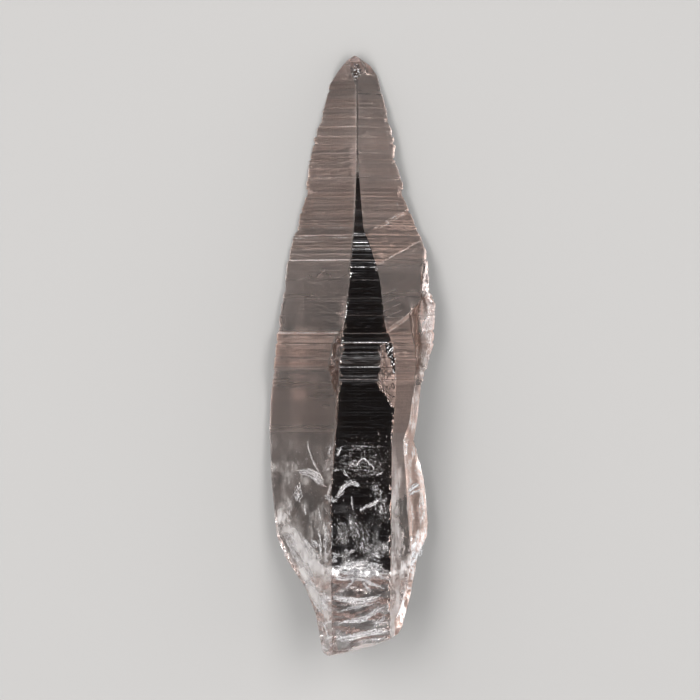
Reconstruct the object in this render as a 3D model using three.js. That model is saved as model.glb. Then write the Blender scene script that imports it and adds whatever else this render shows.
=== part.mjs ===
// A clear lemurian quartz point of the tapering Tessin habit, lying on its flat back face.
//
// Quartz faces round the length meet at 60 degrees. Three wide faces (left, right and back)
// close in on the tip, and the narrow faces between them die out on the way up: the front one
// is the clear window. Growth ledges cross the faces, and a chip has taken the right edge. The
// lower end is broken: the front faces reach its end, and a conchoidal break undercuts them.
//
// Millimetres. s runs from the tip towards the break, x runs across the crystal as seen from
// the front, and z is the height above the back face. The finished solid has its tip towards
// +Y and its origin under the middle of its box.

import * as THREE from 'three';

// Driving dimensions
const LENGTH = 105.5;
const FACE_SLOPE = Math.sqrt(3);
const THINNEST_FACE = 0.16;

// Outlines seen from the front, as [s, x]
const LEFT_OUTLINE = [
  [0, 0.4], [0.9, -0.9], [3.0, -2.6], [5.1, -3.9], [9.7, -5.0], [14.6, -6.5], [18.8, -7.5],
  [25.9, -8.3], [27.3, -8.9], [30.4, -9.5], [31.9, -10.2], [37.8, -11.5], [46.8, -12.8],
  [47.9, -12.6], [48.4, -13.0], [60.7, -14.3], [66.0, -14.5], [74.8, -14.2], [84.7, -13.2],
  [88.2, -11.8], [93.8, -8.1], [98.4, -6.3], [105.0, -5.1],
];
const RIGHT_OUTLINE = [
  [0, 0.4], [0.5, 1.4], [1.9, 3.3], [3.5, 4.4], [7.2, 5.4], [16.0, 7.6], [18.1, 7.4],
  [22.7, 8.9], [25.2, 9.1], [31.5, 11.8], [34.7, 13.0], [41.7, 13.8], [43.6, 14.7],
  [51.0, 14.2], [58.3, 12.1], [63.9, 11.5], [67.8, 10.9], [74.8, 12.7], [82.2, 13.4],
  [84.7, 13.2], [88.0, 11.6], [95.2, 10.2], [100.5, 8.8], [102.0, 7.8],
];

// Edges of the clear window and of the small facets beside it, as [s, x]
const WINDOW_LEFT = [
  [0, 0.2], [1.9, -0.4], [3.7, 0.1], [5.1, 0.8], [19.4, 0.85], [30.8, 0.4], [39.6, -0.4],
  [51.0, -1.8], [67.8, -2.9], [78.3, -3.7], [105.0, -3.4],
];
const WINDOW_RIGHT = [
  [0, 0.5], [0.9, 1.5], [1.9, 1.9], [3.7, 1.3], [5.1, 1.1], [19.4, 1.1], [30.8, 2.0],
  [33.4, 3.1], [39.6, 4.9], [47.9, 5.8], [50.5, 6.9], [54.0, 7.7], [60.7, 7.6], [68.6, 7.0],
  [105.0, 6.6],
];
const LEFT_BEVEL_WIDTH = [[47.7, 0], [50.0, 1.2], [55.0, 1.9], [60.7, 0]];
const NOTCH_WIDTH = [[50.4, 0], [51.2, 2.2], [56.8, 3.1], [59.5, 1.9], [62.3, 0]];
const CHIP_EDGE = [
  [36.0, 12.2], [43.1, 12.3], [45.5, 10.0], [53.7, 11.2], [57.2, 11.0], [64.2, 10.1],
  [67.8, 9.0], [78.3, 9.7], [88.0, 10.4], [95.2, 9.6], [102.0, 7.4],
];

// Heights above the back face, as [s, z]
const RIDGE_HEIGHT = [
  [0, 3.1], [1.9, 4.5], [5.1, 7.7], [7.9, 9.6], [13.2, 12.6], [19.4, 15.1], [25.5, 16.5],
  [36.1, 20.2], [43.1, 21.5], [54.6, 22.6], [70.0, 22.6], [105.5, 21.2],
];
const UNDERSIDE = [[0, 3.0], [3.6, 0]];
const CHIP_FOOT = [[0, 30], [36.0, 30], [42.0, 7.5], [80.0, 6.5], [86.0, 8.0], [103.0, 20.0]];
const SIDE_INSET = [[0, 30], [84.0, 30], [88.0, 4.0], [105.5, 2.6]];

// Slopes of the two small facets, as a fall in z for each millimetre of x
const BEVEL_FALL = 0.55;
const NOTCH_FALL = 0.7;
const CHIP_HOLLOW = 0.9;

// Where the chip's edge would lie across the whole right face, and its least distances
// from the window and from the outline
const CHIP_EDGE_SHARE = 0.8;
const CHIP_FROM_WINDOW = 0.4;
const CHIP_FROM_OUTLINE = 0.2;

// Growth ledges round the crystal, as [s, how far the surface steps out]
const LEDGES = [
  [9.2, 0.14], [10.9, 0.12], [12.6, 0.15], [14.3, 0.2], [18.2, 0.12], [21.6, 0.25],
  [25.6, 0.12], [27.3, 0.2], [29.7, 0.14], [31.8, 0.2], [33.8, 0.2], [36.1, 0.25],
  [39.6, 0.14], [42.8, 0.14], [45.8, 0.2], [48.9, 0.25], [50.7, 0.2], [53.2, 0.2],
  [54.9, 0.15], [57.0, 0.14],
];
const LEDGE_WIDTH = 0.14;
const LEDGE_RECOVERY = 3.2;
const LEDGE_SIDE_SHARE = 0.6;
const LEDGE_SIDE_REACH = 4;

// The break: where it begins on the back, as [x, s], where the front faces end, as [x, s], and
// how much of the depth is lost at a distance below its beginning, as [distance, share]
const BREAK_LEAN_FROM = 85;
const BREAK_START = [
  [-13.2, 81.0], [-9.2, 86.2], [-6.5, 88.9], [-3.7, 90.6], [1.4, 91.7], [7.0, 91.0],
  [10.2, 88.0], [13.7, 83.2],
];
const BREAK_END = [
  [-5.1, 104.8], [-4.2, 105.5], [-3.0, 105.0], [-1.0, 104.8], [0, 104.0], [2.0, 103.3],
  [4.6, 103.2], [6.3, 102.6], [7.8, 101.7],
];
const BREAK_LOSS = [
  [0, 0], [1.6, 0.17], [4.2, 0.24], [4.8, 0.31], [7.0, 0.37], [7.5, 0.44], [9.4, 0.48],
  [10.0, 0.55], [14.0, 0.63],
];

// Waves over the break, as [height, turn for each mm of x, turn for each mm of s]
const BREAK_WAVES = [[0.18, 1.1, 0.8], [0.12, -0.7, 1.9]];
const WAVES_FULL_BELOW = 2;
const WAVES_FULL_DEPTH = 3;

// The grid: steps across each face, in the order of the corners, and rows down the length
const FACE_STEPS = [4, 2, 5, 3, 2, 4, 2, 6, 2];
const TIP_ROWS = [0.2, 0.5, 0.9, 1.4, 1.9, 2.6, 3.6, 4.4, 5.1, 6.2, 7.2, 8.1];
const ROW_SPACING = 1.5;
const CAP_RINGS = [0.7, 0.35];
const CAP_BULGE = 0.5;

// Value at position p of a broken line of [p, value] points, held level past its ends.
function along(points, p) {
  const last = points[points.length - 1];
  if (p >= last[0]) {
    return last[1];
  }
  const next = Math.max(1, points.findIndex((point) => point[0] > p));
  const [p0, v0] = points[next - 1];
  const [p1, v1] = points[next];
  return THREE.MathUtils.lerp(v0, v1, THREE.MathUtils.clamp((p - p0) / (p1 - p0), 0, 1));
}

// How far the growth ledges stand out at s: each steps out, then sinks back to the trend.
function ledgeHeight(s) {
  return LEDGES.reduce((sum, [start, rise]) => {
    const grown = THREE.MathUtils.clamp((s - start) / LEDGE_WIDTH, 0, 1);
    const left = THREE.MathUtils.clamp(1 - (s - start) / LEDGE_RECOVERY, 0, 1);
    return sum + rise * grown * left;
  }, 0);
}

// Rows over the leaning break are pulled back on the right, where the crystal is shorter.
function leaning(s, endS) {
  const share = Math.max(0, (s - BREAK_LEAN_FROM) / (LENGTH - BREAK_LEAN_FROM));
  return Math.min(s, BREAK_LEAN_FROM) + share * (endS - BREAK_LEAN_FROM);
}

// Corners of the cross-section at s as [x, z], from the window's left edge round by the right.
function sectionCorners(s) {
  const left = along(LEFT_OUTLINE, leaning(s, BREAK_END[0][1]));
  const right = along(RIGHT_OUTLINE, leaning(s, BREAK_END[BREAK_END.length - 1][1]));
  const ridge = along(RIDGE_HEIGHT, s) + ledgeHeight(s);
  const under = along(UNDERSIDE, s);
  const sideInset = along(SIDE_INSET, s);

  const windowLeft = along(WINDOW_LEFT, s);
  const bevel = along(LEFT_BEVEL_WIDTH, s) + THINNEST_FACE;
  const bevelZ = ridge - bevel * BEVEL_FALL;
  const leftZ = bevelZ - FACE_SLOPE * (windowLeft - bevel - left);

  const windowRight = Math.max(along(WINDOW_RIGHT, s), windowLeft + THINNEST_FACE);
  const notch = along(NOTCH_WIDTH, s) + THINNEST_FACE;
  const notchZ = ridge - notch * NOTCH_FALL;
  const chipX = s < CHIP_EDGE[0][0]
    ? THREE.MathUtils.lerp(windowRight, right, CHIP_EDGE_SHARE)
    : THREE.MathUtils.clamp(
      along(CHIP_EDGE, s),
      windowRight + CHIP_FROM_WINDOW,
      right - CHIP_FROM_OUTLINE,
    );
  const chipZ = notchZ - FACE_SLOPE * (chipX - windowRight);
  const rightZ = Math.min(chipZ - FACE_SLOPE * (right - chipX), along(CHIP_FOOT, s));

  const leftSideZ = Math.max(leftZ, under + THINNEST_FACE);
  const rightSideZ = Math.max(rightZ, under + THINNEST_FACE);
  return [
    [windowLeft, ridge],
    [windowRight - notch, ridge],
    [windowRight, notchZ],
    [chipX, Math.max(chipZ, rightSideZ + THINNEST_FACE)],
    [right, rightSideZ],
    [right - Math.min((rightSideZ - under) / FACE_SLOPE, sideInset), under],
    [left + Math.min((leftSideZ - under) / FACE_SLOPE, sideInset), under],
    [left, leftSideZ],
    [windowLeft - bevel, bevelZ],
  ];
}

// Unevenness of the broken surface: crossed waves.
function breakWaves(x, s) {
  return BREAK_WAVES.reduce((sum, [height, perX, perS]) => (
    sum + height * Math.sin(perX * x + perS * s)
  ), 0);
}

// One point of the surface, moved by the ledges, the chip's hollow and the break. front is the
// outline of the front faces at s as [x, z], from left to right.
function surfacePoint(x, z, s, front, hollow) {
  const [left] = front[0];
  const [right] = front[front.length - 1];
  const fromMiddle = (x - (left + right) / 2) / LEDGE_SIDE_REACH;
  const sideways = LEDGE_SIDE_SHARE * THREE.MathUtils.clamp(fromMiddle, -1, 1);
  const share = (x - left) / (right - left);
  const endFirst = BREAK_END[0][0];
  const endLast = BREAK_END[BREAK_END.length - 1][0];
  const endS = along(BREAK_END, THREE.MathUtils.lerp(endFirst, endLast, share));
  const leanedS = leaning(s, endS);
  const below = leanedS - along(BREAK_START, x);
  const frontZ = along(front, x);
  const depth = (frontZ - z) * (1 - along(BREAK_LOSS, below));
  const waviness = THREE.MathUtils.clamp(below / WAVES_FULL_BELOW, 0, 1)
    * Math.min(1, depth / WAVES_FULL_DEPTH);
  return new THREE.Vector3(
    x + sideways * ledgeHeight(s) - hollow,
    LENGTH / 2 - leanedS,
    frontZ - depth + waviness * breakWaves(x, leanedS),
  );
}

// The ring of points round the crystal at s.
function ring(s) {
  const corners = sectionCorners(s);
  const front = [...corners.slice(7), ...corners.slice(0, 5)];
  return corners.flatMap(([x, z], face) => {
    const [nextX, nextZ] = corners[(face + 1) % corners.length];
    const steps = FACE_STEPS[face];
    return Array.from({ length: steps }, (_, step) => {
      const share = step / steps;
      const chipped = face === 3 && s > CHIP_EDGE[0][0];
      const hollow = chipped ? CHIP_HOLLOW * Math.sin(Math.PI * share) : 0;
      const pointX = THREE.MathUtils.lerp(x, nextX, share);
      const pointZ = THREE.MathUtils.lerp(z, nextZ, share);
      return surfacePoint(pointX, pointZ, s, front, hollow);
    });
  });
}

// Positions of the rows: close at the tip, two at each ledge and evenly spaced between.
function rowPositions() {
  const ledgeRows = LEDGES.flatMap(([start]) => [start, start + LEDGE_WIDTH]);
  const fixedRows = [...TIP_ROWS, ...ledgeRows].sort((a, b) => a - b);
  const rows = [];
  [...fixedRows, LENGTH].forEach((next) => {
    const previous = rows.length > 0 ? rows[rows.length - 1] : 0;
    const steps = Math.ceil((next - previous) / ROW_SPACING);
    const start = rows.length > 0 ? 1 : steps;
    for (let step = start; step <= steps; step += 1) {
      rows.push(previous + (next - previous) * step / steps);
    }
  });
  return rows;
}

// Rings that close the broken end: the last ring drawn in towards its middle.
function capRings(lastRing, middle) {
  return CAP_RINGS.map((scale) => lastRing.map((point) => {
    const inner = middle.clone().lerp(point, scale);
    inner.y -= CAP_BULGE * (1 - scale);
    return inner;
  }));
}

// The mean of a ring's points.
function ringMiddle(points) {
  const sum = points.reduce((total, point) => total.add(point), new THREE.Vector3());
  return sum.divideScalar(points.length);
}

// Triangles over a stack of rings, with a point closing each end.
function stackTriangles(ringCount, ringSize) {
  const triangles = [];
  const tip = ringCount * ringSize;
  const end = tip + 1;
  const lastRow = (ringCount - 1) * ringSize;
  for (let column = 0; column < ringSize; column += 1) {
    const next = (column + 1) % ringSize;
    triangles.push(tip, column, next);
    for (let row = 0; row < lastRow; row += ringSize) {
      const here = row + column;
      const beside = row + next;
      triangles.push(here, here + ringSize, beside + ringSize);
      triangles.push(here, beside + ringSize, beside);
    }
    triangles.push(end, lastRow + next, lastRow + column);
  }
  return triangles;
}

// The whole crystal as one closed surface.
function crystalGeometry() {
  const rings = rowPositions().map(ring);
  const lastRing = rings[rings.length - 1];
  const endMiddle = ringMiddle(lastRing);
  rings.push(...capRings(lastRing, endMiddle));
  const tipPoint = new THREE.Vector3(LEFT_OUTLINE[0][1], LENGTH / 2, RIDGE_HEIGHT[0][1]);
  const endPoint = endMiddle.clone();
  endPoint.y -= CAP_BULGE;
  const points = [...rings.flat(), tipPoint, endPoint];
  const geometry = new THREE.BufferGeometry().setFromPoints(points);
  geometry.setIndex(stackTriangles(rings.length, lastRing.length));
  geometry.computeBoundingBox();
  const centre = geometry.boundingBox.getCenter(new THREE.Vector3());
  geometry.translate(-centre.x, -centre.y, -geometry.boundingBox.min.z);
  geometry.computeVertexNormals();
  return geometry;
}

const quartz = new THREE.MeshStandardMaterial({
  color: 0xd9cfcb,
  roughness: 0.12,
  metalness: 0,
  transparent: true,
  opacity: 0.45,
});

const crystal = new THREE.Mesh(crystalGeometry(), quartz);
crystal.name = 'crystal';

const group = new THREE.Group();
group.add(crystal);

export default group;
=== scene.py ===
# %% [markdown]
# A lemurian quartz point
# A single clear crystal, grown with three wide ledged faces that close in on its tip and one
# clear window down its front, and broken off at the lower end. The frame holds its plain solid.
# This script puts a fine surface in its place, made as one sheet of numbers wrapped round the
# crystal, and gives it a glass finish with satin faces, white growth lines and silvery cracks.

# %% Load the frame
import json
import math

import bpy
import numpy as np
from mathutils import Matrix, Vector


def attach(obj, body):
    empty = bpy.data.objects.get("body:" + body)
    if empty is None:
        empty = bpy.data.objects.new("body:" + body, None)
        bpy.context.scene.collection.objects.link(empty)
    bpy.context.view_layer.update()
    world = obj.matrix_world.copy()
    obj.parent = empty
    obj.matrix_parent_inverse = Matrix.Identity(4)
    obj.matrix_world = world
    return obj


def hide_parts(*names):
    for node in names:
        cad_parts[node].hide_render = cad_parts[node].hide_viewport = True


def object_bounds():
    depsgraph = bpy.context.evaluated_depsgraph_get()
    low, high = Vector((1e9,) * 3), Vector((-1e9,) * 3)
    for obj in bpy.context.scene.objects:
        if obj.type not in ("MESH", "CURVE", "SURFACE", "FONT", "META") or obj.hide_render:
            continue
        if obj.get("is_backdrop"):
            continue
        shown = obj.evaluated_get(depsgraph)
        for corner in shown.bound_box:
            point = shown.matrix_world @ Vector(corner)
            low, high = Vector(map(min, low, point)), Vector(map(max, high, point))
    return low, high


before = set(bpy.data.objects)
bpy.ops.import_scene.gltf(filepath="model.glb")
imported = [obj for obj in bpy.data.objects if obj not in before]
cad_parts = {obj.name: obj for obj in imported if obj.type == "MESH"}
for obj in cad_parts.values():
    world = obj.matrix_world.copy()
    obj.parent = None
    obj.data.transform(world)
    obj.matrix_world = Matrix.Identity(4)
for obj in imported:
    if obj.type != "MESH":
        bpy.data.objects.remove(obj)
cad_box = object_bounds()
MM = 0.001
print("frame box in mm:", [[round(v / MM, 2) for v in corner] for corner in cad_box])

# %% [markdown]
# The crystal's own measures
# All lists are in millimetres. s runs from the tip towards the broken end, x runs across the
# crystal as seen from the front, and z is the height above the flat back face. A crystal's
# outline is made of straight stretches and small ledges, so broken lines of a few points
# describe it better than curves would.

# %% Outlines, edges and heights
LENGTH = 105.5
LEFT_OUTLINE = [
    (0, 0.4), (0.9, -0.9), (3.0, -2.6), (5.1, -3.9), (9.7, -5.0), (14.6, -6.5), (18.8, -7.5),
    (25.9, -8.3), (27.3, -8.9), (30.4, -9.5), (31.9, -10.2), (37.8, -11.5), (46.8, -12.8),
    (47.9, -12.6), (48.4, -13.0), (60.7, -14.3), (66.0, -14.5), (74.8, -14.2), (84.7, -13.2),
    (88.2, -11.8), (93.8, -8.1), (98.4, -6.3), (105.0, -5.1),
]
RIGHT_OUTLINE = [
    (0, 0.4), (0.5, 1.4), (1.9, 3.3), (3.5, 4.4), (7.2, 5.4), (16.0, 7.6), (18.1, 7.4),
    (22.7, 8.9), (25.2, 9.1), (31.5, 11.8), (34.7, 13.0), (41.7, 13.8), (43.6, 14.7),
    (51.0, 14.2), (58.3, 12.1), (63.9, 11.5), (67.8, 10.9), (74.8, 12.7), (82.2, 13.4),
    (84.7, 13.2), (88.0, 11.6), (95.2, 10.2), (100.5, 8.8), (102.0, 7.8),
]
WINDOW_LEFT = [
    (0, 0.2), (1.9, -0.4), (3.7, 0.1), (5.1, 0.8), (19.4, 0.85), (30.8, 0.4), (39.6, -0.4),
    (51.0, -1.8), (67.8, -2.9), (78.3, -3.7), (105.0, -3.4),
]
WINDOW_RIGHT = [
    (0, 0.5), (0.9, 1.5), (1.9, 1.9), (3.7, 1.3), (5.1, 1.1), (19.4, 1.1), (30.8, 2.0),
    (33.4, 3.1), (39.6, 4.9), (47.9, 5.8), (50.5, 6.9), (54.0, 7.7), (60.7, 7.6), (68.6, 7.0),
    (105.0, 6.6),
]
LEFT_BEVEL_WIDTH = [(47.7, 0), (50.0, 1.2), (55.0, 1.9), (60.7, 0)]
NOTCH_WIDTH = [(50.4, 0), (51.2, 2.2), (56.8, 3.1), (59.5, 1.9), (62.3, 0)]
CHIP_EDGE = [
    (36.0, 12.2), (43.1, 12.3), (45.5, 10.0), (53.7, 11.2), (57.2, 11.0), (64.2, 10.1),
    (67.8, 9.0), (78.3, 9.7), (88.0, 10.4), (95.2, 9.6), (102.0, 7.4),
]
RIDGE_HEIGHT = [
    (0, 3.1), (1.9, 4.5), (5.1, 7.7), (7.9, 9.6), (13.2, 12.6), (19.4, 15.1), (25.5, 16.5),
    (36.1, 20.2), (43.1, 21.5), (54.6, 22.6), (70.0, 22.6), (105.5, 21.2),
]
UNDERSIDE = [(0, 3.0), (0.6, 1.4), (2.0, 0.3), (3.6, 0)]
CHIP_FOOT = [(0, 30), (36.0, 30), (42.0, 7.5), (80.0, 6.5), (86.0, 8.0), (103.0, 20.0)]
SIDE_INSET = [(0, 30), (84.0, 30), (88.0, 4.0), (105.5, 2.6)]
CHIP_START = CHIP_EDGE[0][0]


def along(points, p):
    """Value at p of a broken line of (p, value) points, held level past its ends."""
    known = np.array(points, float)
    return np.interp(p, known[:, 0], known[:, 1])


def eased(points, p, reach):
    """Mean of the broken line over nine places up to the reach each side, which rounds bends."""
    return np.mean([along(points, p + reach * t) for t in np.linspace(-1, 1, 9)], axis=0)


print("outline points:", len(LEFT_OUTLINE) + len(RIGHT_OUTLINE))

# %% [markdown]
# Growth ledges
# Quartz of this kind grew in starts and stops, which left a ladder of small steps across its
# faces. Each ledge steps out by a fraction of a millimetre and sinks back before the next, so
# it shows in the outline too. One sum of short ramps gives them all.

# %% Ledges
LEDGES = [
    (9.2, 0.14), (10.9, 0.12), (12.6, 0.15), (14.3, 0.2), (18.2, 0.12), (21.6, 0.25),
    (25.6, 0.12), (27.3, 0.2), (29.7, 0.14), (31.8, 0.2), (33.8, 0.2), (36.1, 0.25),
    (39.6, 0.14), (42.8, 0.14), (45.8, 0.2), (48.9, 0.25), (50.7, 0.2), (53.2, 0.2),
    (54.9, 0.15), (57.0, 0.14),
]
LEDGE_WIDTH = 0.14
LEDGE_RECOVERY = 3.2
LEDGE_SIDE_SHARE = 0.6
LEDGE_SIDE_REACH = 4


def ledge_height(s):
    """Sum over the ledges of rise, times a ramp up over the width, times a ramp down after."""
    start, rise = np.array(LEDGES).T
    past = np.asarray(s)[..., None] - start
    grown = np.clip(past / LEDGE_WIDTH, 0, 1)
    left = np.clip(1 - past / LEDGE_RECOVERY, 0, 1)
    return (rise * grown * left).sum(axis=-1)


highest = ledge_height(np.arange(0, LENGTH, 0.1)).max()
print("ledges:", len(LEDGES), "highest:", round(float(highest), 2), "mm")

# %% [markdown]
# The broken end
# The crystal snapped off the rock that it grew on. The break starts on the back face and runs
# up to the front, so the front faces reach the end with less and less quartz under them.
# Conchoidal ribs cross it, which a staircase of rising and level stretches gives.

# %% The break
BREAK_LEAN_FROM = 85
BREAK_START = [
    (-13.2, 81.0), (-9.2, 86.2), (-6.5, 88.9), (-3.7, 90.6), (1.4, 91.7), (7.0, 91.0),
    (10.2, 88.0), (13.7, 83.2),
]
BREAK_END = [
    (-5.1, 104.8), (-4.2, 105.5), (-3.0, 105.0), (-1.0, 104.8), (0, 104.0), (2.0, 103.3),
    (4.6, 103.2), (6.3, 102.6), (7.8, 101.7),
]
BREAK_LOSS = [
    (0, 0), (1.6, 0.17), (4.2, 0.24), (4.8, 0.31), (7.0, 0.37), (7.5, 0.44), (9.4, 0.48),
    (10.0, 0.55), (14.0, 0.63),
]


def leaning(s, end_s):
    """s, stretched past the start of the lean so that the last row ends at end_s."""
    share = np.maximum(0, (s - BREAK_LEAN_FROM) / (LENGTH - BREAK_LEAN_FROM))
    return np.minimum(s, BREAK_LEAN_FROM) + share * (end_s - BREAK_LEAN_FROM)


print("the break is", round(LENGTH - BREAK_START[3][1], 1), "mm long")

# %% [markdown]
# Sections
# Quartz faces round the length meet at 60 degrees whatever the crystal's shape, so the front
# outline and the ridge height settle the whole section: a side edge lies as far down as the
# face's slope takes it. Nine corners hold the window, its notch, the right face, the chip, the
# back faces, the left face and a bevel. A corner has the name of the face that starts at it.

# %% Corners of the section
WINDOW, NOTCH, RIGHT, CHIP, RIGHT_BACK, BACK, LEFT_BACK, LEFT, BEVEL = range(9)
FRONT_CORNERS = (LEFT, BEVEL, WINDOW, NOTCH, RIGHT, CHIP, RIGHT_BACK)
FACE_SLOPE = math.sqrt(3)
THINNEST_FACE = 0.16
THINNEST_EDGE = 0.03
ROUNDING = 0.8
LOWER_ROUNDING = 5
LEDGES_END = 58
BEVEL_FALL, BEVEL_ROUNDING = 0.55, 0.6
NOTCH_FALL, NOTCH_ROUNDING = 0.7, 0.3
CHIP_EDGE_SHARE = 0.8
CHIP_FROM_WINDOW = 0.4
CHIP_FROM_OUTLINE = 0.2
ABOVE_ALL = 99.0


def section_corners(s):
    """(rows, 9, 2) corners as x and z, from the window's left edge round by the right."""
    left = along(LEFT_OUTLINE, leaning(s, BREAK_END[0][1]))
    right = along(RIGHT_OUTLINE, leaning(s, BREAK_END[-1][1]))
    ridge = eased(RIDGE_HEIGHT, s, ROUNDING + LOWER_ROUNDING * (s > LEDGES_END)) + ledge_height(s)
    under = along(UNDERSIDE, s)
    inset = along(SIDE_INSET, s)

    window_left = eased(WINDOW_LEFT, s, ROUNDING)
    bevel = eased(LEFT_BEVEL_WIDTH, s, BEVEL_ROUNDING) + THINNEST_EDGE
    bevel_z = ridge - bevel * BEVEL_FALL
    left_z = bevel_z - FACE_SLOPE * (window_left - bevel - left)

    window_right = np.maximum(eased(WINDOW_RIGHT, s, ROUNDING), window_left + THINNEST_FACE)
    notch = eased(NOTCH_WIDTH, s, NOTCH_ROUNDING) + THINNEST_EDGE
    notch_z = ridge - notch * NOTCH_FALL
    whole_x = window_right + CHIP_EDGE_SHARE * (right - window_right)
    least_x = window_right + CHIP_FROM_WINDOW
    most_x = np.maximum(least_x, right - CHIP_FROM_OUTLINE)
    chipped_x = np.clip(along(CHIP_EDGE, s), least_x, most_x)
    chip_x = np.where(s < CHIP_START, whole_x, chipped_x)
    chip_z = notch_z - FACE_SLOPE * (chip_x - window_right)
    right_z = np.minimum(chip_z - FACE_SLOPE * (right - chip_x), along(CHIP_FOOT, s))

    left_z = np.maximum(left_z, under + THINNEST_FACE)
    right_z = np.maximum(right_z, under + THINNEST_FACE)
    corners = [
        (window_left, ridge),
        (window_right - notch, ridge),
        (window_right, notch_z),
        (chip_x, np.maximum(chip_z, right_z + THINNEST_FACE)),
        (right, right_z),
        (right - np.minimum((right_z - under) / FACE_SLOPE, inset), under),
        (left + np.minimum((left_z - under) / FACE_SLOPE, inset), under),
        (left, left_z),
        (window_left - bevel, bevel_z),
    ]
    return np.stack([np.stack(corner, axis=1) for corner in corners], axis=1)


def front_height(corners, x):
    """Height of the front faces over x: the lowest of the lines through neighbouring corners."""
    height = np.full(x.shape, ABOVE_ALL)
    for first, second in zip(FRONT_CORNERS[:-1], FRONT_CORNERS[1:]):
        x0, z0 = corners[:, first, 0, None], corners[:, first, 1, None]
        x1, z1 = corners[:, second, 0, None], corners[:, second, 1, None]
        height = np.minimum(height, z0 + (z1 - z0) / (x1 - x0) * (x - x0))
    return height


half_way = section_corners(np.array([LENGTH / 2]))[0]
print("corners half way down, in mm:", half_way.round(1).tolist())

# %% [markdown]
# Uneven surfaces
# Real faces aren't perfect planes, and broken quartz is scalloped. Value noise, numbers on a
# lattice joined by smooth steps, gives both. It is worked out here in numpy, because the shape
# has to be the same in every render and in the mesh.

# %% Noise
SEED = 41
LATTICE = 128
CREST_STEEPNESS = 2.2


def noise(x, y, seed):
    """Value noise from -1 to 1: random numbers on a unit lattice, joined by smooth steps."""
    table = np.random.default_rng(SEED + seed).uniform(-1, 1, (LATTICE, LATTICE))
    x, y = np.broadcast_arrays(x, y)
    column, row = np.floor(x).astype(int), np.floor(y).astype(int)
    u, v = x - column, y - row
    u, v = u * u * (3 - 2 * u), v * v * (3 - 2 * v)
    column, beside = column % LATTICE, (column + 1) % LATTICE
    row, below = row % LATTICE, (row + 1) % LATTICE
    near = table[row, column] * (1 - u) + table[row, beside] * u
    far = table[below, column] * (1 - u) + table[below, beside] * u
    return near * (1 - v) + far * v


def rough(x, y, seed, octaves=3):
    """Sum of noise at doubling frequency and halving height."""
    return sum(noise(x * 2**k, y * 2**k, seed + k) / 2**k for k in range(octaves))


def ridged(x, y, seed):
    """Sharp crests, from 0 to 1: 1 less the steepened size of two octaves of noise."""
    return 1 - np.clip(np.abs(rough(x, y, seed, 2)) * CREST_STEEPNESS, 0, 1)


def bump_at(value, low, high):
    """Smooth step from 0 at low to 1 at high."""
    t = np.clip((value - low) / (high - low), 0, 1)
    return t * t * (3 - 2 * t)


def between(height, value, rise, fall):
    """The height, times a smooth step up over rise, times a smooth step down over fall."""
    return height * bump_at(value, *rise) * (1 - bump_at(value, *fall))


print("noise at a point:", round(float(noise(np.array(1.3), np.array(2.6), 0)), 3))

# %% [markdown]
# Growth lines
# Most ledges catch the light along their step as a thin white line, which the finish paints on
# as a highlight. The lines' places on each of the three faces come with how strongly each shows,
# because a step that is bright on one face is often lost on the next.

# %% Growth lines
# place as s, and strength
LEFT_LINES = [
    (9.15, 0.35), (10.0, 0.3), (10.9, 0.4), (12.6, 0.45), (13.6, 0.3), (14.3, 0.45),
    (21.6, 0.5), (29.7, 0.35), (30.4, 0.6), (31.8, 0.6), (32.2, 0.7), (32.8, 0.4),
    (34.0, 0.3), (35.0, 0.3), (36.1, 1.0), (42.8, 0.3), (48.9, 1.0), (49.6, 0.35),
    (50.3, 0.35), (51.0, 0.4), (53.2, 0.8), (54.6, 0.3),
]
WINDOW_LINES = [
    (31.5, 0.9), (31.84, 0.9), (32.7, 0.7), (33.06, 1.7), (33.67, 1.8), (34.24, 1.2), (34.5, 0.5),
    (35.2, 0.3), (36.6, 0.5), (37.05, 0.4), (37.4, 1.0), (38.5, 0.4), (39.7, 0.3),
    (45.1, 0.15), (46.3, 0.15), (50.6, 0.75), (51.45, 0.4), (52.35, 0.4), (52.9, 0.45),
    (53.27, 0.5), (54.9, 0.7), (55.5, 0.2), (56.5, 0.3), (57.1, 0.2), (57.4, 0.15),
]
RIGHT_LINES = [
    (9.15, 0.3), (10.0, 0.3), (10.9, 0.35), (12.5, 0.35), (13.4, 0.4), (14.0, 0.3),
    (14.5, 0.3), (21.5, 0.4), (35.6, 0.35), (52.3, 0.4), (54.2, 0.6), (55.6, 0.3),
]
LINE_WIDTH = 0.075
print("growth lines:", len(LEFT_LINES) + len(WINDOW_LINES) + len(RIGHT_LINES))

# %% [markdown]
# One sheet round the crystal
# The surface is a grid: rows run round the crystal and columns run down it. Every face keeps
# its own columns, so an edge of the crystal is always a line of the grid and stays sharp. Rows
# lie close together, with two more at each ledge and three at each bright line.

# %% Rows and columns
# columns on each face, in the order of the faces' names
FACE_STEPS = [22, 7, 26, 14, 6, 11, 6, 27, 6]
ROW_SPACING = 0.16
FIRST_ROW = 0.12
CLOSEST_ROWS = 0.045
LINE_REACH = 0.1


def row_positions():
    """Even rows, two for each ledge and three for each line, without any that nearly meet."""
    starts = np.array(LEDGES)[:, 0]
    lines = np.array(LEFT_LINES + WINDOW_LINES + RIGHT_LINES)[:, 0]
    even = np.arange(FIRST_ROW, LENGTH, ROW_SPACING)
    beside = [starts, starts + LEDGE_WIDTH, lines - LINE_REACH, lines, lines + LINE_REACH]
    rows = np.sort(np.concatenate([even, *beside, [LENGTH]]))
    apart = np.append(np.diff(rows) > CLOSEST_ROWS, True)
    return rows[apart]


rows = row_positions()
face = np.repeat(np.arange(len(FACE_STEPS)), FACE_STEPS)
share = np.concatenate([np.arange(steps) / steps for steps in FACE_STEPS])
on_back = np.isin(face, (RIGHT_BACK, BACK, LEFT_BACK))
print("grid:", len(rows), "rows by", len(face), "columns")

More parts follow.
